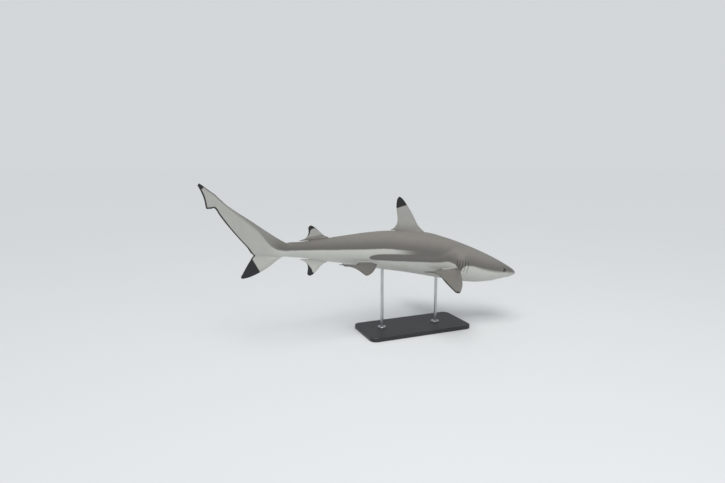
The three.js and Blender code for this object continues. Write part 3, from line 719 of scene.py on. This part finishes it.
# The markings are signed fields over the skin, in units: positive is inside the marking.
# What fades from one value to another is given as its two ends, each a place and a value.
coatPlan = {
    "upperEdge": [(0, 1.4), (34, 1.3), (40.1, 1.23), (45.2, 1.28), (49.3, 0.98), (53.9, 0.66), (58.4, 0.43),
                  (62.8, 0.27), (68.5, 0.12), (72.4, 0.01), (75, -0.08), (84, 0.4)],
    # lowerEdge drops between stations 19 and 23 so the grey reaches down over the last gill slits: partly the
    # skin's own dusky tone, partly painted shade of the slits
    "lowerEdge": [(0, -0.8), (3.1, -0.7), (5, -0.72), (7.6, -0.9), (9.5, -1), (12, -0.95), (14.7, -0.75),
                  (17, -0.5), (18.9, -0.6), (19.8, -1.3), (20.6, -2.1), (21.4, -1.8), (22.6, -0.8),
                  (24, -0.45), (25.1, -0.39), (28, -1.02), (32.6, -1.52), (35.9, -1.79), (39.5, -1.99),
                  (42, -2.1), (44.6, -2.19), (47.1, -2.2), (49.2, -2.14), (50.2, -1.94), (50.8, -1.5),
                  (51.4, -0.6), (52.2, 1.2), (60, 3)],
    "tongueTop": [(0, 9), (22, 8), (27, 3), (30, 1.4), (33, 0.7), (34.6, 0.56), (37.6, 0.35), (39.9, 0.13),
                  (42.5, -0.03), (45, -0.19), (47.6, -0.4), (49.2, -0.64), (50.2, -0.98), (50.8, -1.45),
                  (60, -4)],
    "wedge": ((35, 1), (44.5, 0)),                    # how much of the pale wedge is still under the grey
    "veilFrom": 24, "veilEdge": (-0.3, 0.5),
    "snout": ((1, 1), (11, 4.3)),                     # the most that the dark can be, less on the snout so it takes the flank's darker grey: a painted shade
    "crisp": ((12, 0.35), (24, 1)),                   # the markings are softer on the head
    "dorsalTip": ((38.8, 14.26), (41.77, 12.98)),     # the lower edge of the black, front and rear
    "dorsalPale": ((6.6, 0.25), (9.5, 0.85)), "dorsalRim": ((0.05, 0.75), (0.6, 1)),
    "secondRear": [(2.4, -0.3), (3.4, 0.02), (4.2, 0.3), (5.3, 0.6), (5.8, 1.35), (6.1, 2.2), (6.6, 3)],
    "secondFront": ((4.8, 0), (5.8, 0.14)),
    "secondPale": ((4.5, 0), (5.1, 0.9)), "paleSlope": 0.22,
    "analRear": [(-7.2, 2), (-6.3, 1.5), (-5.5, 1.25), (-4.8, 0.7), (-4.2, 0.26), (-3.4, 0), (-2.4, -0.3)],
    "pectoralStrip": ((2, 0.12), (9, 0.54)), "pectoralCorner": (8.8, 0.32),
    "pectoralTip": (7.8, 16.1), "tipAbove": 1.1, "tipBelow": 3.4,
    "pelvicStrip": 0.16, "pelvicCorner": 11,
    "above": {"pectoral": 2.5, "pelvic": 1.2}, "below": -1.5,     # the dark field on either face of a fin
    "tail": 75.5, "tailEnd": 83,                      # stations where the tail takes its own markings
    "tailBand": ((76, 1.7), (94, 0.3)),               # the grey thins out along the front edge
    "tailFront": ((86, 0), (95, 0.16)), "tailRear": ((86, 0.28), (95, 0.38)),
    "fork": {"spot": (83.9, -1.2), "strip": 0.12, "reach": 1.5},
    "upperLobeTip": (97.9, 15.7), "lobeTipReach": 1.5,
    "lowerLobeTip": ((83.63, -2.4), (81.44, -5.78)),  # the edge of the black, rear and front
    "tailPale": ((76, 0), (81, 0.45)), "tailCrisp": ((76, 1), (84, 0.25)),
    "tailVeil": ((76, 0), (82, 0.22)), "veilRise": (-3, 1),
}
frontEdge, rearEdge = (0, 1), (2, 3)      # columns of a fin's rows


def lineField(spots, start, end):
    # distance beyond the line from start to end, in the plane of station and rise
    run = np.array(end, float) - np.array(start, float)
    run /= np.linalg.norm(run)
    away = spots[:, [0, 2]] - np.array(start, float)
    return away[:, 1] * run[0] - away[:, 0] * run[1]


def edgeDistance(flat, rows, columns):
    # distance in the fin's own plane to its leading or trailing edge
    line = np.array([[rowAt(rows, place)[c] for c in columns] for place in np.linspace(1, len(rows) - 1, 70)])
    best = np.full(len(flat), 1e9)
    for start, end in zip(line[:-1], line[1:]):
        run = end - start
        t = np.clip(((flat - start) @ run) / max(run @ run, 1e-9), 0, 1)
        best = np.minimum(best, np.linalg.norm(flat - start - t[:, None] * run, axis=1))
    return best


def reachFrom(flat, point):
    return np.hypot(flat[:, 0] - point[0], flat[:, 1] - point[1])


def finPlane(spots, fin):
    # each point's place in the fin's own plane, and whether it is on the upper face
    hinge, droop = fin["hinge"], math.radians(fin["hinge"]["droop"])
    along = spots[:, 0] - hinge["station"]
    drop = spots[:, 2] - hinge["rise"] + along * math.tan(math.radians(hinge["rearDown"]))
    reach = (np.abs(spots[:, 1]) - hinge["side"]) * math.cos(droop) - drop * math.sin(droop)
    return np.stack([along, reach], -1), drop > -reach * math.sin(droop)


# Each of these gives the fields that it changes. dark: the grey back and flank; black: fin tips
# and edges; pale: how far a fin lightens; veil: how far the grey covers all; crisp: how sharp.
def bodyCoat(spots):
    station, side, rise = spots.T
    upper = rise - reading(coatPlan["upperEdge"], station)
    lower = rise - reading(coatPlan["lowerEdge"], station)
    tongue = reading(coatPlan["tongueTop"], station) - rise
    dark = np.maximum(upper, np.minimum(lower, tongue))
    veil = fading(coatPlan["wedge"], station) * smoothStep(*coatPlan["veilEdge"], lower)
    return {
        # capped low on the snout, which gives it a painted shade
        "dark": np.minimum(dark, fading(coatPlan["snout"], station)),
        "black": np.full(len(spots), -3.0),
        "pale": np.zeros(len(spots)),
        "veil": veil * (station > coatPlan["veilFrom"]),
        "crisp": fading(coatPlan["crisp"], station),
    }


def firstDorsalCoat(spots):
    flat, rows = spots[:, [0, 2]], firstDorsal["rows"]
    rim = np.minimum(edgeDistance(flat, rows, frontEdge), edgeDistance(flat, rows, rearEdge))
    pale = fading(coatPlan["dorsalPale"], flat[:, 1]) * fading(coatPlan["dorsalRim"], rim)
    return {"black": lineField(spots, *coatPlan["dorsalTip"]), "pale": pale}


def secondDorsalCoat(spots):
    flat, rows = spots[:, [0, 2]], secondDorsal["rows"]
    station, rise = flat.T
    rear = reading(coatPlan["secondRear"], rise) - edgeDistance(flat, rows, rearEdge)
    front = fading(coatPlan["secondFront"], rise) - edgeDistance(flat, rows, frontEdge)
    slope = coatPlan["paleSlope"] * (station - secondDorsal["root"][0])
    return {"black": np.maximum(rear, front), "pale": fading(coatPlan["secondPale"], rise + slope)}


def analCoat(spots):
    flat = spots[:, [0, 2]]
    black = reading(coatPlan["analRear"], flat[:, 1]) - edgeDistance(flat, analFin["rows"], rearEdge)
    return {"black": black, "dark": coatPlan["below"]}


def pectoralCoat(spots):
    flat, above = finPlane(spots, pectoralFin)
    rear = edgeDistance(flat, pectoralFin["rows"], rearEdge)
    strip = fading(coatPlan["pectoralStrip"], flat[:, 1]) - rear
    start, width = coatPlan["pectoralCorner"]                     # the free rear tip of the fin
    corner = np.minimum(width - rear, flat[:, 0] - start)
    tipward = reachFrom(flat, coatPlan["pectoralTip"])
    tip = np.where(above, coatPlan["tipAbove"], coatPlan["tipBelow"]) - tipward
    return {"black": np.maximum.reduce([strip, corner, tip]),
            "dark": np.where(above, coatPlan["above"]["pectoral"], coatPlan["below"])}


def pelvicCoat(spots):
    flat, above = finPlane(spots, pelvicFin)
    strip = coatPlan["pelvicStrip"] - edgeDistance(flat, pelvicFin["rows"], rearEdge)
    corner = 0.5 * (flat[:, 0] - coatPlan["pelvicCorner"])
    return {"black": np.maximum(strip, corner),
            "dark": np.where(above, coatPlan["above"]["pelvic"], coatPlan["below"])}


def tailCoat(spots):
    flat, upperRows, fork = spots[:, [0, 2]], tailFin["upperRows"], coatPlan["fork"]
    station, rise = flat.T
    front = edgeDistance(flat, upperRows, frontEdge)
    rear = np.minimum(edgeDistance(flat, upperRows[3:], rearEdge),
                      edgeDistance(flat, tailFin["lowerRows"], rearEdge))
    nearFork = fork["strip"] * bell(reachFrom(flat, fork["spot"]), fork["reach"])
    strip = fading(coatPlan["tailRear"], station) + nearFork - rear
    edge = fading(coatPlan["tailFront"], station) - front
    low = np.where(rise < 0, lineField(spots, *coatPlan["lowerLobeTip"]), -3)
    tip = coatPlan["lobeTipReach"] - reachFrom(flat, coatPlan["upperLobeTip"])
    band = fading(coatPlan["tailBand"], station) - front
    away = smoothStep(coatPlan["tail"], coatPlan["tailEnd"], station)
    dark = bodyCoat(spots)["dark"]
    return {
        "dark": np.where(rise > fork["spot"][1], dark * (1 - away) + band * away, dark),
        "black": np.maximum.reduce([strip, low, tip, edge]),
        "pale": fading(coatPlan["tailPale"], station),
        "veil": fading(coatPlan["tailVeil"], station) * smoothStep(*coatPlan["veilRise"], rise),
        "crisp": fading(coatPlan["tailCrisp"], station),
    }


def coatFields(spots, onFin):
    station, side, rise = spots.T
    coats = [(station > coatPlan["tail"], tailCoat)]
    for fin, outside, finCoat in ((firstDorsal, rise > 5, firstDorsalCoat),
                                  (secondDorsal, rise > 1.5, secondDorsalCoat),
                                  (analFin, rise < -1.5, analCoat),
                                  (pectoralFin, np.abs(side) > 4.5, pectoralCoat),
                                  (pelvicFin, rise < -1.5, pelvicCoat)):
        start, end = fin["span"]
        coats.append((onFin & outside & (station > start) & (station < end), finCoat))
    fields = bodyCoat(spots)
    for where, finCoat in coats:
        for name, values in finCoat(spots[where]).items():
            fields[name][where] = values
    return fields


def setVectors(mesh, name, *rows):
    layer = mesh.attributes.new(name, "FLOAT_VECTOR", "POINT")
    layer.data.foreach_set("vector", np.stack(rows, -1).reshape(-1))


straightSpots = coordinates(skinMesh)
fields = coatFields(straightSpots, bodyShare(skinMesh) < 0.92)
setVectors(skinMesh, "coat", fields["dark"], fields["black"], fields["pale"])
setVectors(skinMesh, "shade", fields["veil"], fields["crisp"], fields["crisp"])
setCoordinates(skinMesh, bent(straightSpots))
bm = bmesh.new()
bm.from_mesh(skinMesh)
faceOutwards(bm)                                                  # bending mirrors the straight layout
bm.to_mesh(skinMesh)
bm.free()
skinMesh.shade_smooth()
skin = bpy.data.objects.new("sharkSkin", skinMesh)
bpy.context.collection.objects.link(skin)
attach(skin, "root")
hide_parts("head", "trunk", "tail_stalk", "caudal_fin_upper_lobe", "caudal_fin_lower_lobe",
            "first_dorsal_fin", "second_dorsal_fin", "anal_fin", "pectoral_fin_left", "pectoral_fin_right",
            "pelvic_fin_left", "pelvic_fin_right")
print("skin bent along the axis")


def makeEye(name, hand, node):
    eye = headPlan["eye"]
    centre, along, upward, outward = eyeFrame(hand)
    inset = centre - outward * eye["sunk"]
    spots = bent(np.array([inset, inset + outward, inset + along * 0.2, inset - along * 0.2]))
    out = Vector(spots[1] - spots[0]).normalized()
    back = Vector(spots[2] - spots[3])
    back = (back - out * back.dot(out)).normalized()
    up = out.cross(back) if out.cross(back).z > 0 else back.cross(out)
    bm = bmesh.new()
    bmesh.ops.create_uvsphere(bm, u_segments=56, v_segments=32, radius=1)
    unit = bodyPlan["unit"]
    gaze = bm.verts.layers.float_vector.new("gaze")
    for corner in bm.verts:
        corner[gaze] = corner.co
        bulge = 1 + eye["bulge"] * max(0, corner.co.z) ** 6       # the clear front of the eye
        place = (back * corner.co.x * eye["length"] + up * corner.co.y * eye["height"]
                 + out * corner.co.z * eye["depth"] * bulge)
        corner.co = Vector(spots[0]) + place * unit / 2
    faceOutwards(bm)
    mesh = bpy.data.meshes.new(name)
    bm.to_mesh(mesh)
    bm.free()
    mesh.shade_smooth()
    piece = bpy.data.objects.new(name, mesh)
    bpy.context.collection.objects.link(piece)
    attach(piece, "root")
    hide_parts(node)
    return piece


eyes = [makeEye("eyeLeft", 1, "eye_left"), makeEye("eyeRight", -1, "eye_right")]
print("eyes made")


def newTree(name):
    material = bpy.data.materials.new(name)
    material.use_nodes = True
    tree = material.node_tree
    shader = next(n for n in tree.nodes if n.type == "BSDF_PRINCIPLED")
    return material, tree, shader


def put(tree, kind, settings=None, **inputs):
    # a node with its plain settings, and its sockets given as values or links; in6 is the seventh socket
    made = tree.nodes.new(kind)
    for name, value in (settings or {}).items():
        setattr(made, name, value)
    for name, value in inputs.items():
        socket = made.inputs[int(name[2:]) if name[2:].isdigit() else name]
        if isinstance(value, bpy.types.NodeSocket):
            tree.links.new(value, socket)
        else:
            socket.default_value = value
    return made


def sums(tree, operation, *values):
    made = put(tree, "ShaderNodeMath", {"operation": operation},
               **{f"in{i}": value for i, value in enumerate(values)})
    return made.outputs[0]


def ramped(tree, value, low, high):
    made = put(tree, "ShaderNodeMapRange", {"interpolation_type": "SMOOTHSTEP"}, Value=value)
    made.inputs["From Min"].default_value = low
    made.inputs["From Max"].default_value = high
    return made.outputs[0]


def blended(tree, factor, first, second):
    made = put(tree, "ShaderNodeMix", {"data_type": "RGBA"}, in0=factor, in6=first, in7=second)
    return made.outputs[2]


def noise(tree, coords, scale, detail):
    return put(tree, "ShaderNodeTexNoise", Vector=coords, Scale=scale, Detail=detail).outputs[0]


def attributeOf(tree, name, output="Vector"):
    return put(tree, "ShaderNodeAttribute", {"attribute_name": name}).outputs[output]


def objectCoordinates(tree):
    return put(tree, "ShaderNodeTexCoord").outputs["Object"]


def fineGrainGroup():
    # a small grain: a mask from 0 to 1 and a height, at a given size in grains per metre
    tree = bpy.data.node_groups.new("fineGrain", "ShaderNodeTree")
    tree.interface.new_socket("Vector", in_out="INPUT", socket_type="NodeSocketVector")
    tree.interface.new_socket("Scale", in_out="INPUT", socket_type="NodeSocketFloat")
    tree.interface.new_socket("Mask", in_out="OUTPUT", socket_type="NodeSocketFloat")
    tree.interface.new_socket("Height", in_out="OUTPUT", socket_type="NodeSocketFloat")
    source, out = tree.nodes.new("NodeGroupInput"), tree.nodes.new("NodeGroupOutput")
    speckle = noise(tree, source.outputs[0], source.outputs[1], 3.0)
    cells = put(tree, "ShaderNodeTexVoronoi", Vector=source.outputs[0], Scale=source.outputs[1])
    tree.links.new(ramped(tree, speckle, 0.35, 0.65), out.inputs[0])
    height = sums(tree, "ADD", sums(tree, "MULTIPLY", speckle, 0.6),
                  sums(tree, "MULTIPLY", cells.outputs[0], -0.5))
    tree.links.new(height, out.inputs[1])
    return tree


fineGrain = fineGrainGroup()


def grained(tree, shader, coords, finish):
    # the fine grain's part in the roughness and the bump; returns its mask
    grain = put(tree, "ShaderNodeGroup", {"node_tree": fineGrain}, Vector=coords, Scale=finish["grain"])
    spread = sums(tree, "MULTIPLY", grain.outputs["Mask"], finish["spread"])
    tree.links.new(sums(tree, "ADD", finish["roughness"], spread), shader.inputs["Roughness"])
    bump = put(tree, "ShaderNodeBump", Height=grain.outputs["Height"],
               Strength=finish["bump"], Distance=finish["depth"])
    tree.links.new(bump.outputs[0], shader.inputs["Normal"])
    return grain.outputs["Mask"]


coatFinish = {
    "back": (0.238, 0.222, 0.202, 1), "flank": (0.140, 0.133, 0.122, 1), "belly": (0.54, 0.54, 0.50, 1),
    # the last colour on the next line is painted shade for slits, grooves, holes and round the eyes
    "tip": (0.010, 0.010, 0.011, 1), "finPale": (0.40, 0.40, 0.375, 1), "creaseShade": (0.045, 0.036, 0.032, 1),
    "patches": 38.0, "specks": 420.0,
    "patchStray": 0.3, "speckStray": 0.22,                        # how far the markings' edges wander
    "edge": 0.2, "tipEdge": 0.09,                                 # half the width of a marking's soft edge
    "flankToLitBack": (0.2, 4.2),                                    # how deep in the grey each colour stands; the back's lighter grey is partly the skin's own tone, partly painted top light
    "mottle": 0.12,
    "grain": 900.0, "roughness": 0.36, "spread": 0.14, "bump": 0.12, "depth": 0.0006,
    "coat": 0.12, "coatRoughness": 0.3,
}


def skinMaterial():
    material, tree, shader = newTree("sharkCoat")
    finish = coatFinish
    coords = objectCoordinates(tree)
    dark, black, pale = put(tree, "ShaderNodeSeparateXYZ", Vector=attributeOf(tree, "coat")).outputs
    veil, crisp, _ = put(tree, "ShaderNodeSeparateXYZ", Vector=attributeOf(tree, "shade")).outputs
    patches = noise(tree, coords, finish["patches"], 4.0)
    specks = noise(tree, coords, finish["specks"], 3.0)
    stray = sums(tree, "ADD",
                 sums(tree, "MULTIPLY", sums(tree, "SUBTRACT", patches, 0.5), finish["patchStray"]),
                 sums(tree, "MULTIPLY", sums(tree, "SUBTRACT", specks, 0.5), finish["speckStray"]))
    wandering = sums(tree, "ADD", dark, stray)
    darkMask = ramped(tree, sums(tree, "MULTIPLY", wandering, crisp), -finish["edge"], finish["edge"])
    darkMask = sums(tree, "MAXIMUM", darkMask, veil)
    blackField = sums(tree, "ADD", black, sums(tree, "MULTIPLY", stray, 0.3))
    blackMask = ramped(tree, blackField, -finish["tipEdge"], finish["tipEdge"])
    # painted shade in slits, grooves, holes and round the eyes, taken from the carved skin
    creaseShadeMask = sums(tree, "MULTIPLY", ramped(tree, attributeOf(tree, "creaseShade", "Fac"), 0.3, 1.0), 0.7)
    # the grey lightens from the flank up over the back: partly the skin's own tone, partly painted light from
    # above
    grey = blended(tree, ramped(tree, wandering, *finish["flankToLitBack"]), finish["flank"], finish["back"])
    colour = blended(tree, darkMask, finish["belly"], grey)
    colour = blended(tree, sums(tree, "MULTIPLY", pale, 0.9), colour, finish["finPale"])
    colour = blended(tree, blackMask, colour, finish["tip"])
    colour = blended(tree, creaseShadeMask, colour, finish["creaseShade"])
    mottle = sums(tree, "ADD", 0.9, sums(tree, "MULTIPLY", specks, finish["mottle"]))
    mottle = sums(tree, "ADD", mottle, sums(tree, "MULTIPLY", patches, finish["mottle"]))
    colour = put(tree, "ShaderNodeMix", {"data_type": "RGBA", "blend_type": "MULTIPLY"},
                 in0=1.0, in6=colour, in7=mottle).outputs[2]
    tree.links.new(colour, shader.inputs["Base Color"])
    grained(tree, shader, coords, finish)
    shader.inputs["Specular IOR Level"].default_value = 0.5
    shader.inputs["Coat Weight"].default_value = finish["coat"]
    shader.inputs["Coat Roughness"].default_value = finish["coatRoughness"]
    return material


eyeFinish = {
    "slit": (0.19, 0.6),                  # half width and half height of the pupil, the eye being 1
    "pupil": (0.002, 0.002, 0.003, 1), "rim": (0.02, 0.02, 0.018, 1),
    "irisDark": (0.028, 0.028, 0.020, 1), "irisLight": (0.095, 0.090, 0.060, 1), "flecks": 7.0,
    "roughness": 0.12, "coatRoughness": 0.03,
}


def eyeMaterial():
    material, tree, shader = newTree("sharkEye")
    finish, gaze = eyeFinish, attributeOf(tree, "gaze")
    x, y, z = put(tree, "ShaderNodeSeparateXYZ", Vector=gaze).outputs
    width, height = finish["slit"]
    slit = sums(tree, "SQRT", sums(tree, "ADD", sums(tree, "POWER", sums(tree, "DIVIDE", x, width), 2.0),
                                   sums(tree, "POWER", sums(tree, "DIVIDE", y, height), 2.0)))
    ring = sums(tree, "SQRT", sums(tree, "ADD", sums(tree, "MULTIPLY", x, x), sums(tree, "MULTIPLY", y, y)))
    flecks = ramped(tree, noise(tree, gaze, finish["flecks"], 5.0), 0.35, 0.7)
    iris = blended(tree, flecks, finish["irisDark"], finish["irisLight"])
    iris = blended(tree, ramped(tree, ring, 0.55, 0.9), iris, finish["rim"])
    colour = blended(tree, ramped(tree, slit, 0.92, 1.08), finish["pupil"], iris)
    tree.links.new(colour, shader.inputs["Base Color"])
    shader.inputs["Roughness"].default_value = finish["roughness"]
    shader.inputs["Coat Weight"].default_value = 1.0
    shader.inputs["Coat Roughness"].default_value = finish["coatRoughness"]
    return material


standFinish = {
    "paint": {"dark": (0.016, 0.017, 0.018, 1), "light": (0.030, 0.031, 0.033, 1), "haze": 9.0,
              "grain": 1400.0, "roughness": 0.36, "spread": 0.12, "bump": 0.25, "depth": 0.0003},
    "steel": {"dark": (0.44, 0.45, 0.46, 1), "light": (0.60, 0.61, 0.62, 1), "drawn": (1, 1, 0.02),
              "grain": 1800.0, "roughness": 0.24, "spread": 0.14, "bump": 0.15, "depth": 0.0003},
}


def standPaint():
    material, tree, shader = newTree("satinBlack")
    finish, coords = standFinish["paint"], objectCoordinates(tree)
    haze = noise(tree, coords, finish["haze"], 5.0)
    tree.links.new(blended(tree, haze, finish["dark"], finish["light"]), shader.inputs["Base Color"])
    grained(tree, shader, coords, finish)
    return material


def standSteel():
    material, tree, shader = newTree("brushedSteel")
    finish = standFinish["steel"]
    drawn = put(tree, "ShaderNodeMapping", Vector=objectCoordinates(tree), Scale=finish["drawn"])
    mask = grained(tree, shader, drawn.outputs[0], finish)
    tree.links.new(blended(tree, mask, finish["dark"], finish["light"]), shader.inputs["Base Color"])
    shader.inputs["Metallic"].default_value = 1.0
    return material


skin.data.materials.append(skinMaterial())
eyeCoat = eyeMaterial()
for piece in eyes:
    piece.data.materials.append(eyeCoat)
brushedSteel = standSteel()
for name, material in (("stand_base", standPaint()), ("stand_rod_front", brushedSteel),
                       ("stand_rod_rear", brushedSteel)):
    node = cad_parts[name]
    if node.material_slots:
        for holder in node.material_slots:
            holder.material = material
    else:
        node.data.materials.append(material)
print("materials done")

studio = {
    "floorRadius": 60.0, "floorColour": (0.84, 0.855, 0.865, 1), "haze": 1.5, "hazeDark": 0.985,
    "ambient": (0.93, 0.97, 1.0), "ambientStrength": 0.45,
    "target": (-0.05, 0, 0.3),            # where the lamps point
    "key": {"from": (-0.55, -0.75, 1.9), "spread": 40.0, "power": 1.25, "colour": (1.0, 0.985, 0.965)},
    "softbox": {"place": (-0.6, -1.9, 2.3), "size": 1.6, "power": 16, "colour": (1.0, 1.0, 1.0)},
    "camera": {"place": (-0.8999, -1.6779, 0.6560), "turn": (81.0, 0.0, -22.083), "lens": 24.0,
               "sensor": 36.0},
}


def makeFloor():
    bm = bmesh.new()
    bmesh.ops.create_circle(bm, cap_ends=True, cap_tris=False, segments=96, radius=studio["floorRadius"])
    bmesh.ops.recalc_face_normals(bm, faces=bm.faces)
    mesh = bpy.data.meshes.new("floor")
    bm.to_mesh(mesh)
    bm.free()
    floor = bpy.data.objects.new("floor", mesh)
    bpy.context.collection.objects.link(floor)
    material, tree, shader = newTree("floorPaper")
    haze = noise(tree, objectCoordinates(tree), studio["haze"], 3.0)
    base = studio["floorColour"]
    darker = (*(c * studio["hazeDark"] for c in base[:3]), 1)
    tree.links.new(blended(tree, haze, darker, base), shader.inputs["Base Color"])
    shader.inputs["Roughness"].default_value = 1.0
    shader.inputs["Specular IOR Level"].default_value = 0.0
    mesh.materials.append(material)


def hang(name, lamp, place):
    light = bpy.data.objects.new(name, lamp)
    light.location = place
    light.rotation_euler = (Vector(studio["target"]) - Vector(place)).to_track_quat("-Z", "Y").to_euler()
    bpy.context.collection.objects.link(light)


def makeLights():
    plan = studio["key"]
    lamp = bpy.data.lights.new("keyLight", "SUN")
    lamp.energy, lamp.color, lamp.angle = plan["power"], plan["colour"], math.radians(plan["spread"])
    hang("keyLight", lamp, Vector(plan["from"]) + Vector(studio["target"]))
    plan = studio["softbox"]
    lamp = bpy.data.lights.new("softbox", "AREA")
    lamp.shape, lamp.size, lamp.energy, lamp.color = "DISK", plan["size"], plan["power"], plan["colour"]
    hang("softbox", lamp, plan["place"])


def makeWorld():
    # the wall behind shows in the floor's own far colour, so no horizon line is seen
    key, strength = studio["key"], studio["ambientStrength"]
    slope = Vector(key["from"]).normalized().z
    wall = [floor * (ambient * strength + tint * key["power"] * slope / math.pi)
            for floor, ambient, tint in zip(studio["floorColour"], studio["ambient"], key["colour"])]
    world = bpy.data.worlds.new("studio")
    world.use_nodes = True
    tree = world.node_tree
    soft = tree.nodes["Background"]
    soft.inputs["Color"].default_value = (*studio["ambient"], 1)
    soft.inputs["Strength"].default_value = strength
    seen = put(tree, "ShaderNodeBackground", Color=(*wall, 1), Strength=1.0)
    mixed = put(tree, "ShaderNodeMixShader", in0=put(tree, "ShaderNodeLightPath").outputs["Is Camera Ray"])
    tree.links.new(soft.outputs[0], mixed.inputs[1])
    tree.links.new(seen.outputs[0], mixed.inputs[2])
    tree.links.new(mixed.outputs[0], tree.nodes["World Output"].inputs["Surface"])
    bpy.context.scene.world = world


def makeCamera():
    plan = studio["camera"]
    camera = bpy.data.objects.new("camera", bpy.data.cameras.new("camera"))
    camera.location = plan["place"]
    camera.rotation_euler = [math.radians(a) for a in plan["turn"]]
    camera.data.lens, camera.data.sensor_width = plan["lens"], plan["sensor"]
    bpy.context.collection.objects.link(camera)
    bpy.context.scene.camera = camera


makeFloor()
makeLights()
makeWorld()
makeCamera()
bpy.context.scene.view_settings.view_transform = "Standard"
print("stage, lights and camera set")
